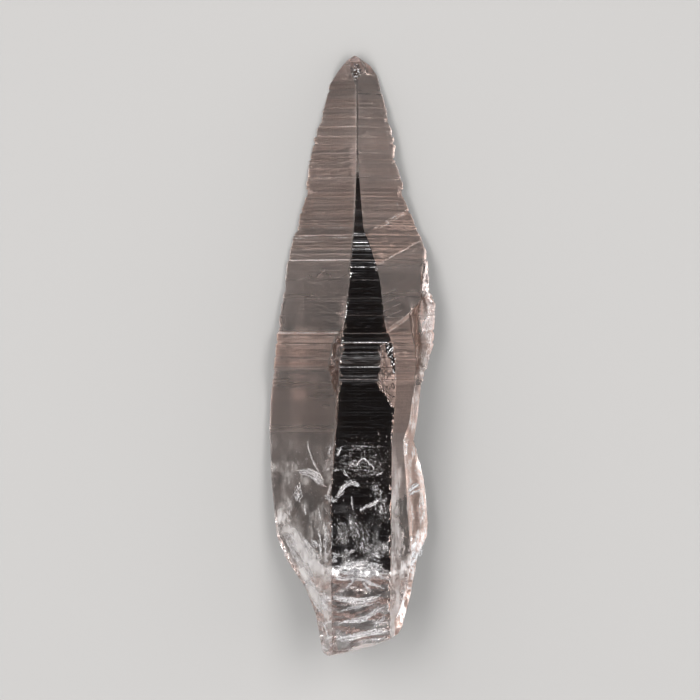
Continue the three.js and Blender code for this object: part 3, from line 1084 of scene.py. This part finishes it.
# %% Paths of the veils
# path as x and s, half width, depth under the front, tilt across the path, how full it is
VEILS = [
    (CRACK_FRONT[:5], 1.3, 1.3, 0.3, 1.15),
    ([(-12.5, 83.2), (-11.1, 86.2), (-9.3, 89.1), (-7.6, 91.2), (-6.0, 92.8)], 0.5, 1.6, 0.2, 0.75),
    ([(-5.3, 90.5), (-2.3, 90.6), (0.5, 90.4), (3.3, 91.0), (6.2, 91.3), (8.0, 91.2)],
     1.25, 4.5, 0.35, 0.8),
    ([(-4.2, 92.2), (-2.3, 91.9), (-0.8, 92.2), (1.1, 91.7), (2.4, 92.4), (4.3, 93.2), (6.5, 93.9)],
     0.4, 5.0, 0.3, 1.0),
    ([(8.0, 91.5), (9.9, 89.7), (11.4, 87.0), (12.7, 84.8), (13.2, 83.8)], 0.85, 1.3, -0.3, 1.0),
    ([(7.4, 92.9), (8.1, 95.4), (7.7, 98.2), (7.2, 100.1)], 0.9, 1.4, -0.2, 0.85),
    ([(9.9, 90.6), (9.1, 95.9), (8.2, 100.5)], 0.5, 0.9, -0.2, 0.9),
    ([(-9.8, 89.2), (-8.3, 91.5), (-7.2, 93.9), (-6.0, 95.7), (-4.7, 97.5), (-3.9, 98.9)],
     0.85, 1.3, 0.3, 1.0),
    ([(-5.8, 94.2), (-4.9, 95.9), (-4.0, 98.0)], 0.9, 1.0, 0.2, 0.8),
    ([(-6.4, 94.1), (-3.8, 95.4), (-1.9, 95.3), (0.0, 95.6), (2.4, 95.8), (4.1, 95.2), (6.3, 94.2)],
     0.5, 6.5, 0.3, 0.95),
    ([(-3.6, 98.0), (-1.9, 97.7), (0.0, 97.0), (2.5, 96.6), (5.1, 95.9)], 0.3, 7.0, 0.3, 0.75),
    ([(-3.0, 100.5), (-1.5, 99.4), (0.0, 99.2), (1.5, 99.6), (2.8, 98.6), (4.3, 97.5), (6.3, 96.3)],
     0.55, 7.0, 0.35, 1.0),
    ([(3.5, 100.5), (4.8, 99.3), (6.0, 98.0)], 0.5, 6.5, 0.2, 0.6),
    ([(6.0, 96.3), (6.9, 97.9), (7.1, 99.3)], 0.25, 3, 0, 0.9),
    ([(-3.6, 102.9), (-2.3, 102.3), (-0.4, 102.2), (1.5, 101.8),
      (3.0, 101.4), (5.2, 101.1), (7.4, 101.0)],
     0.6, 5.5, 0.3, 1.0),
    ([(-5.6, 103.0), (-4.6, 104.7), (-3.3, 104.0)], 0.3, 2.0, 0.2, 0.7),
    ([(-1.2, 93.8), (0.0, 92.6), (0.9, 91.5)], 0.2, 4.0, 0.2, 0.9),
    ([(1.6, 92.0), (2.6, 93.5), (3.5, 94.2)], 0.2, 4.0, 0.2, 0.9),
    ([(-10.0, 73.3), (-8.3, 73.2), (-7.0, 73.7), (-5.9, 74.8), (-4.6, 76.1)], 0.8, 2.2, 0.3, 0.95),
    ([(-9.9, 75.5), (-9.3, 76.9), (-9.9, 78.7)], 0.8, 2.4, 0.2, 0.55),
    ([(-7.8, 67.1), (-7.8, 68.8), (-7.4, 70.3), (-6.6, 72.3), (-5.5, 73.7), (-4.8, 75.3)],
     0.13, 1.2, 0.0, 1.0),
    ([(-4.8, 77.3), (-3.6, 78.1), (-2.5, 78.4)], 0.35, 1.6, 0.3, 1.0),
    ([(-7.2, 85.2), (-6.5, 85.7), (-5.8, 86.4)], 0.5, 2.0, 0.3, 0.85),
    ([(-6.0, 79.2), (-5.6, 81.1), (-5.3, 82.5)], 0.12, 1.5, 0.2, 0.8),
    ([(-3.3, 78.5), (-2.3, 77.3), (-1.5, 75.8), (-0.4, 75.0), (0.9, 75.2), (1.7, 76.2)],
     0.6, 5.0, 0.4, 0.9),
    ([(1.2, 80.0), (2.4, 79.3), (3.7, 78.8), (5.1, 77.9)], 0.42, 5.5, 0.4, 1.0),
    ([(0.5, 72.6), (1.3, 71.3), (2.0, 70.7), (2.8, 71.3), (3.3, 72.7)], 0.13, 6.0, 0.2, 1.0),
    ([(2.9, 71.5), (3.7, 72.3), (3.9, 73.9)], 0.12, 6.0, 0.2, 0.9),
    ([(-1.5, 72.7), (-1.2, 73.5), (-0.5, 74.4)], 0.17, 4.5, 0.2, 1.0),
    ([(-3.4, 73.2), (-2.8, 72.8), (-2.1, 73.0)], 0.15, 4.5, 0.2, 0.9),
    ([(4.0, 73.9), (4.8, 73.6), (5.5, 73.2)], 0.15, 5.0, 0.2, 1.0),
    ([(-2.5, 70.4), (-2.2, 69.5), (-1.9, 68.8)], 0.3, 5.0, 0.2, 0.8),
    ([(-0.1, 77.1), (0.0, 78.5), (0.2, 80.1)], 0.12, 4.0, 0.1, 1.0),
    ([(-1.4, 86.8), (-0.5, 87.5), (0.4, 86.9)], 0.45, 6.5, 0.4, 0.85),
    ([(-3.5, 87.3), (-2.6, 87.8), (-1.9, 87.6)], 0.35, 5.0, 0.4, 0.8),
    ([(-3.6, 89.1), (-3.2, 88.4), (-2.6, 89.1)], 0.4, 5.0, 0.4, 0.8),
    ([(-0.4, 80.8), (-0.2, 82.4), (0.2, 84.1)], 0.35, 6.5, 0.3, 0.5),
    ([(-3.2, 69.2), (0.0, 69.0), (3.2, 69.1), (6.3, 69.2)], 0.6, 7.0, 0.3, 0.2),
    ([(-2.8, 71.6), (0.5, 71.8), (3.5, 72.3), (6.3, 71.8)], 2.2, 8.0, 0.2, 0.18),
    ([(2.1, 86.4), (3.7, 87.5), (5.3, 88.9)], 1.8, 7.5, 0.3, 0.4),
    ([(0.0, 81.8), (1.8, 84.5), (2.8, 88.0)], 2.0, 8.0, 0.3, 0.3),
    ([(8.6, 72.3), (7.7, 74.8), (7.0, 77.4)], 0.75, 1.5, -0.3, 0.8),
    ([(9.7, 78.0), (9.8, 79.4), (9.9, 81.1)], 0.28, 1.2, 0, 1.0),
    ([(9.3, 66.0), (9.4, 69.5), (9.2, 72.7)], 0.4, 1.2, 0, 0.6),
    ([(10.1, 76.9), (11.6, 75.8), (12.7, 75.2)], 0.3, 0.8, 0, 0.8),
    ([(10.4, 77.6), (11.6, 76.7), (12.7, 76.4)], 0.2, 0.8, 0, 0.7),
    ([(12.0, 77.4), (12.3, 80.4), (12.3, 82.9)], 0.5, 0.8, 0, 0.55),
    ([(10.7, 84.0), (10.6, 85.5), (9.9, 87.5)], 0.35, 1.2, 0, 0.7),
    ([(-8.4, 78.8), (-8.3, 79.9), (-8.1, 81.0)], 0.14, 1.5, 0.2, 0.9),
    ([(-4.6, 81.0), (-4.4, 85.0), (-4.6, 88.9)], 0.5, 1.8, 0.2, 0.55),
    ([(-10.6, 77.5), (-11.4, 80.5), (-11.0, 82.5)], 0.8, 1.6, 0.2, 0.45),
    ([(-6.0, 82.5), (-5.5, 86.2), (-5.3, 89.0)], 0.3, 1.5, 0.2, 0.6),
    ([(-9.9, 83.5), (-8.6, 86.2), (-7.0, 88.2)], 0.8, 2.2, 0.3, 0.4),
    ([(8.1, 81.8), (8.4, 86.2), (8.3, 89.8)], 0.7, 1.5, -0.2, 0.5),
    ([(-2.9, 81.5), (-1.5, 84.0), (-2.8, 86.0)], 1.2, 5.5, 0.3, 0.3),
    ([(3.9, 74.5), (4.8, 78.0), (5.9, 82.0)], 1.5, 7.0, 0.3, 0.35),
    ([(-2.5, 89.9), (1.5, 89.5), (6.0, 90.2)], 1.0, 3.5, -0.4, 0.8),
    ([(-5.0, 99.5), (-4.3, 101.5), (-3.6, 103.5)], 0.35, 1.2, 0.2, 0.7),
    ([(-9.0, 87.5), (-7.6, 90.2), (-6.6, 92.5)], 0.5, 0.9, 0.2, 0.9),
]
print("veils:", len(VEILS))

# %% [markdown]
# Ribbons
# A veil is a film, so its ribbon is a tube flattened to a few hundredths of a millimetre. It
# sags and rises with noise, and lies between the slant of the face above it and level. The
# numbers stored with it run along its path and across it, and its fibres follow them.

# %% Ribbons under the front faces
RIBBON_ROWS = 15
RIBBON_ROUND = 8
RIBBON_THICKNESS = 0.02
RIBBON_WAVE = 0.3
LEVEL = 0.6
RUN_APART = 9
FACE_TILT = math.radians(60)
BEND_SHIFT = math.tan(FACE_TILT - math.asin(math.sin(FACE_TILT) / QUARTZ_IOR))


def smooth_path(path, t):
    """Places at the shares t of a path's length, each the mean over a short stretch of it."""
    known = np.array(path, float)
    steps = np.linalg.norm(np.diff(known, axis=0), axis=1)
    length = np.append(0, np.cumsum(steps))
    near = np.clip(t[:, None] + np.linspace(-0.12, 0.12, 7), 0, 1) * length[-1]
    x, s = (np.interp(near, length, known[:, axis]).mean(axis=1) for axis in (0, 1))
    return np.stack([x, s], axis=1), length[-1]


def front_over(x, s):
    """Height of the front over any places, given as grids of x and s."""
    return front_height(section_corners(s.ravel()), x.reshape(-1, 1)).reshape(x.shape)


def beneath(x, s, depth):
    """The place in the crystal that shows at x and s on the front, at a depth under it."""
    corners = section_corners(s.ravel())
    left_edge = corners[:, WINDOW, 0].reshape(x.shape)
    right_edge = corners[:, RIGHT, 0].reshape(x.shape)
    inward = np.clip(left_edge - x, 0, 1) - np.clip(x - right_edge, 0, 1)
    moved = x + BEND_SHIFT * depth * inward
    return np.stack([moved, LENGTH / 2 - s, front_over(x, s) - depth], axis=-1) - shift


def ribbon(number, path, half_width, depth, tilt, fill):
    """A flat tube: at each place of the path an ellipse across it, tapering to both ends.

    Under a slanting face a ribbon lies part of the way between that slant and level.
    """
    t = np.linspace(0, 1, RIBBON_ROWS + 2)
    centre, length = smooth_path(path, t)
    tangent = np.gradient(centre, axis=0)
    tangent /= np.linalg.norm(tangent, axis=1, keepdims=True)
    taper = 1 - (2 * t - 1) ** 4
    angle = np.linspace(0, 2 * np.pi, RIBBON_ROUND, endpoint=False)
    over = half_width * taper[:, None] * np.cos(angle)
    x = centre[:, :1] - tangent[:, 1:] * over
    s = centre[:, 1:] + tangent[:, :1] * over
    wave = RIBBON_WAVE * rough(x / 1.3, s / 1.3, number % 50)
    middle_x = np.broadcast_to(centre[:, :1], x.shape)
    levelled = LEVEL * (front_over(x, s) - front_over(middle_x, s))
    below = depth + levelled + tilt * over + wave - RIBBON_THICKNESS * np.sin(angle)
    placed = beneath(x, s, below)
    core = fill * taper[:, None] * (1 - np.cos(angle) ** 2)
    run = np.broadcast_to(t[:, None] * length, x.shape) + RUN_APART * number
    inner = slice(1, -1)
    ends = [0, -1]
    points = np.concatenate([placed[inner].reshape(-1, 3), placed[ends].mean(axis=1)])
    stored = [np.append(grid[inner].ravel(), grid[ends, 0]) for grid in (core, run, over)]
    return points, tube_faces(RIBBON_ROWS, RIBBON_ROUND), stored


print("under a side face the view shifts by", round(BEND_SHIFT, 2), "mm for each mm of depth")

# %% [markdown]
# Strands and feathers
# A healed crack is never one clean film. Round each veil's main ribbon lie a few narrower
# strands, and short feathers that stand off it at an angle, each at its own depth and tilt, so
# that some flash and some stay dark when the light or the view moves.

# %% All the veils
STRANDS = 4
FEATHERS = 6
LEAST_FIBROUS = 0.5


def strand(chance, path, half_width, depth, tilt, fill):
    """A narrow ribbon beside the path, over a stretch of it."""
    first, last = chance.uniform(0, 0.4), chance.uniform(0.6, 1)
    places, _ = smooth_path(path, np.linspace(first, last, 5))
    places = places + chance.uniform(-1, 1, 2) * half_width + chance.normal(0, 0.12, (5, 2))
    width = half_width * chance.uniform(0.15, 0.45)
    return places, width, depth + chance.uniform(-0.5, 0.7), tilt + chance.normal(0, 0.5), fill


def feather(chance, path, half_width, depth, tilt, fill):
    """A short sliver that stands off the path at an angle."""
    at = chance.uniform(0.05, 0.95)
    (start, ahead), _ = smooth_path(path, np.array([at, min(at + 0.05, 1)]))
    heading = math.atan2(*(ahead - start)[::-1]) + math.radians(chance.uniform(-85, 85))
    length = half_width * chance.uniform(0.8, 2.2)
    bend = chance.normal(0, 0.25)
    turns = [heading + bend * k for k in (-1, 0, 1)]
    reach = np.array([(math.cos(turn), math.sin(turn)) for turn in turns])
    places = start + reach * length * np.array([[-0.5], [0.1], [0.6]])
    width = min(0.3 * length, chance.uniform(0.05, 0.14))
    return places, width, depth + chance.uniform(-0.6, 0.6), tilt + chance.normal(0, 0.7), fill


def all_ribbons():
    """Every veil's main ribbon with its strands and feathers."""
    chance = np.random.default_rng(SEED + 60)
    for veil in VEILS:
        yield veil
        if veil[-1] < LEAST_FIBROUS:
            continue
        for make, count in ((strand, STRANDS), (feather, FEATHERS)):
            for _ in range(count):
                yield make(chance, *veil)


def joined_ribbons(name):
    """One object from all the ribbons, with what their finish needs stored for each point."""
    parts = [ribbon(number, *entry) for number, entry in enumerate(all_ribbons())]
    starts = np.cumsum([0] + [len(part[0]) for part in parts])
    faces = [quad + start for part, start in zip(parts, starts) for quad in part[1]]
    made = mesh_object(name, np.concatenate([part[0] for part in parts]), faces)
    for index, stored in enumerate(("core", "along_path", "across_path")):
        store(made, stored, np.concatenate([part[2][index] for part in parts]))
    return made


veils = joined_ribbons("healed_cracks")
print("veils:", len(VEILS), "faces:", len(veils.data.polygons))

# %% [markdown]
# Specks
# Tiny bright points are scattered through the lower half, where the crystal took its knocks.
# Eight faces each are plenty, and one list of random places, always the same, holds them all.

# %% Specks
SPECK_COUNT = 2200
SPECK_SHAPE = (0.6, 2.0, 0.5)
UPPER_MIDDLE, UPPER_SPREAD = 72, 3
LOWER_END, LOWER_REACH = 91, 12
SPECK_ENDS = (60, 92)
SPECK_SPAN = 9.5
TOP_HEIGHT, TOP_LEFT, TOP_RIGHT = 20.5, -3.6, 6.8
LOWEST_SPECK, SPECK_ROOM = 5, 6.5
OCTAHEDRON = np.array([(1, 0, 0), (0, 1, 0), (-1, 0, 0), (0, -1, 0), (0, 0, 1), (0, 0, -1)], float)
OCTAHEDRON_FACES = np.array(
    [(4, 0, 1), (4, 1, 2), (4, 2, 3), (4, 3, 0), (5, 1, 0), (5, 2, 1), (5, 3, 2), (5, 0, 3)]
)


def specks():
    """Octahedra at random places under the front faces, nearer together towards the break."""
    chance = np.random.default_rng(SEED + 90)
    upper = UPPER_MIDDLE + UPPER_SPREAD * chance.normal(0, 1, SPECK_COUNT)
    lower = LOWER_END - LOWER_REACH * chance.uniform(0, 1, SPECK_COUNT) ** 1.5
    s = np.where(chance.uniform(0, 1, SPECK_COUNT) < 0.5, upper, lower).clip(*SPECK_ENDS)
    x = chance.uniform(-SPECK_SPAN, SPECK_SPAN, SPECK_COUNT)
    top = TOP_HEIGHT - FACE_SLOPE * np.maximum(0, np.maximum(TOP_LEFT - x, x - TOP_RIGHT))
    z = LOWEST_SPECK + (top - SPECK_ROOM) * chance.uniform(0.1, 1, SPECK_COUNT)
    size = 0.025 + 0.09 * chance.uniform(0, 1, SPECK_COUNT) ** 5
    centre = np.stack([x, LENGTH / 2 - s, z], axis=1) - shift
    shape = OCTAHEDRON * np.array(SPECK_SHAPE)
    corners = centre[:, None] + shape[None] * size[:, None, None]
    faces = OCTAHEDRON_FACES[None] + 6 * np.arange(SPECK_COUNT)[:, None, None]
    made = mesh_object("specks", corners.reshape(-1, 3), faces.reshape(-1, 3))
    store(made, "core", np.ones(6 * SPECK_COUNT))
    return made


speck_cloud = specks()
print("specks:", SPECK_COUNT)

# %% [markdown]
# Silver of the veils
# A healed crack holds a film of air, which shines like rough silver. It is torn into fibres
# along its path and eaten away at its rim, so one noise, stretched along the path, drives the
# colour, the bumps and what is left of the film.

# %% Silver of the veils
FINE_CELLS = (3200, 3200, 3200)
COOL_WHITE = (0.93, 0.94, 0.96, 1)
BRIGHT_WHITE = (0.98, 0.99, 1.0, 1)


def silver_finish():
    """Rough silver, whose alpha is a smooth step of torn fibres plus the core's share."""
    finish = Finish(bpy.data.materials.new("silvery_veils"))
    core = finish.mask("core")
    spot = {"X": finish.mask("along_path") * 0.7, "Y": finish.mask("across_path") * 4.5}
    fibres = finish.noise_at(finish.node("ShaderNodeCombineXYZ", {}, spot), 4.0)
    fine = finish.noise(FINE_CELLS, 2.0)
    ragged = 0.6 * fibres + 0.4 * fine
    surface = {
        "Base Color": finish.blend(fibres, COOL_WHITE, BRIGHT_WHITE),
        "Metallic": 1.0,
        "Roughness": 0.4 + 0.4 * fine,
        "Alpha": (ragged * 2.4 + core * 0.5).step(1.3, 1.75),
        "Normal": finish.bumps(ragged, 1.0, 0.0003),
    }
    finish.output(Surface=finish.shader(surface))
    return finish.owner


silver = silver_finish()
for inner in (veils, speck_cloud):
    inner.data.materials.append(silver)
    smooth(inner)
print("silver on", veils.name, "and", speck_cloud.name)

# %% [markdown]
# Table
# The crystal lies on a plain matt table. The table is set a tenth of a millimetre lower, so
# that the two surfaces never share a plane. A table that shone would grey the clear window.

# %% Table
TABLE_HALF = 2.5
TABLE_GAP = 0.0001
TABLE_TONE = (0.25, 0.244, 0.238, 1)

corner = TABLE_HALF / MM
table_points = corner * np.array([(-1, -1, 0), (1, -1, 0), (1, 1, 0), (-1, 1, 0)])
table = mesh_object("table", table_points - np.array([0, 0, TABLE_GAP / MM]), [np.arange(4)])
table_finish = Finish(bpy.data.materials.new("pale_table"))
matt = {"Base Color": TABLE_TONE, "Roughness": 0.9, "Specular IOR Level": 0.0}
table_finish.output(Surface=table_finish.shader(matt))
table.data.materials.append(table_finish.owner)
table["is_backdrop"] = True
print("table:", 2 * TABLE_HALF, "m wide,", TABLE_GAP / MM, "mm below the crystal")

# %% [markdown]
# Sky
# The sky overhead is darker than at the horizon, as in a studio that is lit from its sides. So
# the window, which looks straight up, stays dark while the slanting faces catch the light.

# %% Sky
HORIZON = (0.85, 0.87, 0.9, 1)
ZENITH = (0.08, 0.08, 0.085, 1)


def studio_sky():
    """A world whose colour passes from the horizon's to the zenith's by a step of the height."""
    sky = Finish(bpy.data.worlds.new("studio_sky"))
    direction = sky.node("ShaderNodeTexCoord", {}, {}, "Generated")
    height = sky.node("ShaderNodeSeparateXYZ", {}, {0: direction}, "Z")
    colour = sky.blend(height.step(0.2, 1.0), HORIZON, ZENITH)
    light = sky.node("ShaderNodeBackground", {}, {"Color": colour, "Strength": 1.0})
    sky.node("ShaderNodeOutputWorld", {}, {"Surface": light})
    return sky.owner


bpy.context.scene.world = studio_sky()
print("sky:", bpy.context.scene.world.name)

# %% [markdown]
# Softboxes
# Four softboxes high over the corners light the faces and leave the middle dark, and three
# lower ones fill in. They are broad, because frosted quartz shows soft gradients.

# %% Softboxes
# place in metres, side in metres, power in watts
SOFTBOXES = {
    "high_left": ((-0.27, 0.1, 0.75), 0.32, 4.6),
    "high_right": ((0.27, 0.1, 0.75), 0.32, 4.0),
    "low_left": ((-0.27, -0.17, 0.75), 0.32, 3.4),
    "low_right": ((0.27, -0.17, 0.75), 0.32, 2.6),
    "left_softbox": ((-0.36, 0.45, 0.36), 0.5, 1.4),
    "right_softbox": ((0.5, 0.0, 0.4), 0.4, 0.8),
    "near_softbox": ((0.1, -0.6, 0.5), 0.5, 0.8),
}


def softbox(name, place, size, power):
    """Adds a square area light, turned so that it faces the crystal at the origin."""
    light = bpy.data.lights.new(name, "AREA")
    light.energy = power
    light.size = size
    made = add_object(name, light)
    aim = np.array(place)
    distance = np.linalg.norm(aim)
    made.location = place
    made.rotation_euler = (math.acos(aim[2] / distance), 0, math.atan2(aim[0], -aim[1]))


for name, (place, size, power) in SOFTBOXES.items():
    softbox(name, place, size, power)
print("softboxes:", list(SOFTBOXES))

# %% [markdown]
# Camera
# The camera looks straight down from far away through a long lens. The scale of the outlines,
# 0.176 mm to a pixel of a picture with 700 to a side, settles its field of view and its place.

# %% Camera
MM_PER_PIXEL = 0.176
PICTURE_SIDE = 700
TIP_PIXEL_Y = 55
AXIS_PIXEL_X = 352
CAMERA_HEIGHT = 2.5
SENSOR = 36.0
OUTLINE_HEIGHT = 0.008
NEAREST = 0.01

view_side = PICTURE_SIDE * MM_PER_PIXEL * MM
centre_x = (PICTURE_SIDE / 2 - AXIS_PIXEL_X) * MM_PER_PIXEL - shift[0]
centre_y = LENGTH / 2 - (PICTURE_SIDE / 2 - TIP_PIXEL_Y) * MM_PER_PIXEL - shift[1]
camera_data = bpy.data.cameras.new("camera")
camera_data.sensor_width = SENSOR
camera_data.lens = SENSOR * (CAMERA_HEIGHT - OUTLINE_HEIGHT) / view_side
camera_data.clip_start = NEAREST
camera = add_object("camera", camera_data)
camera.location = (centre_x * MM, centre_y * MM, CAMERA_HEIGHT)
bpy.context.scene.camera = camera
print("lens:", round(camera_data.lens, 1), "mm")

# %% [markdown]
# Light paths
# A path of light passes through the surface and several veils, so it needs many bounces. Light
# that quartz would focus on the table is left out, which keeps the table dark under the
# crystal and the render clean.

# %% Light paths and colour
cycles = bpy.context.scene.cycles
cycles.caustics_refractive = False
cycles.caustics_reflective = False
cycles.max_bounces = 24
cycles.transmission_bounces = 8
cycles.glossy_bounces = 12
cycles.transparent_max_bounces = 32
bpy.context.scene.view_settings.view_transform = "Standard"
print("bounces:", cycles.max_bounces)

# %% [markdown]
# Into the frame
# Three pieces take the place of the plain solid: the body with its fine surface, the veils and
# the specks in it. All are quartz, and all move with the root, because nothing here is loose.

# %% Give the pieces to the frame
for piece in (crystal, veils, speck_cloud):
    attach(piece, "root")
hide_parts("crystal")
size = {"cad": [list(corner) for corner in cad_box], "scene": [list(corner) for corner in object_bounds()]}
print(json.dumps(size))
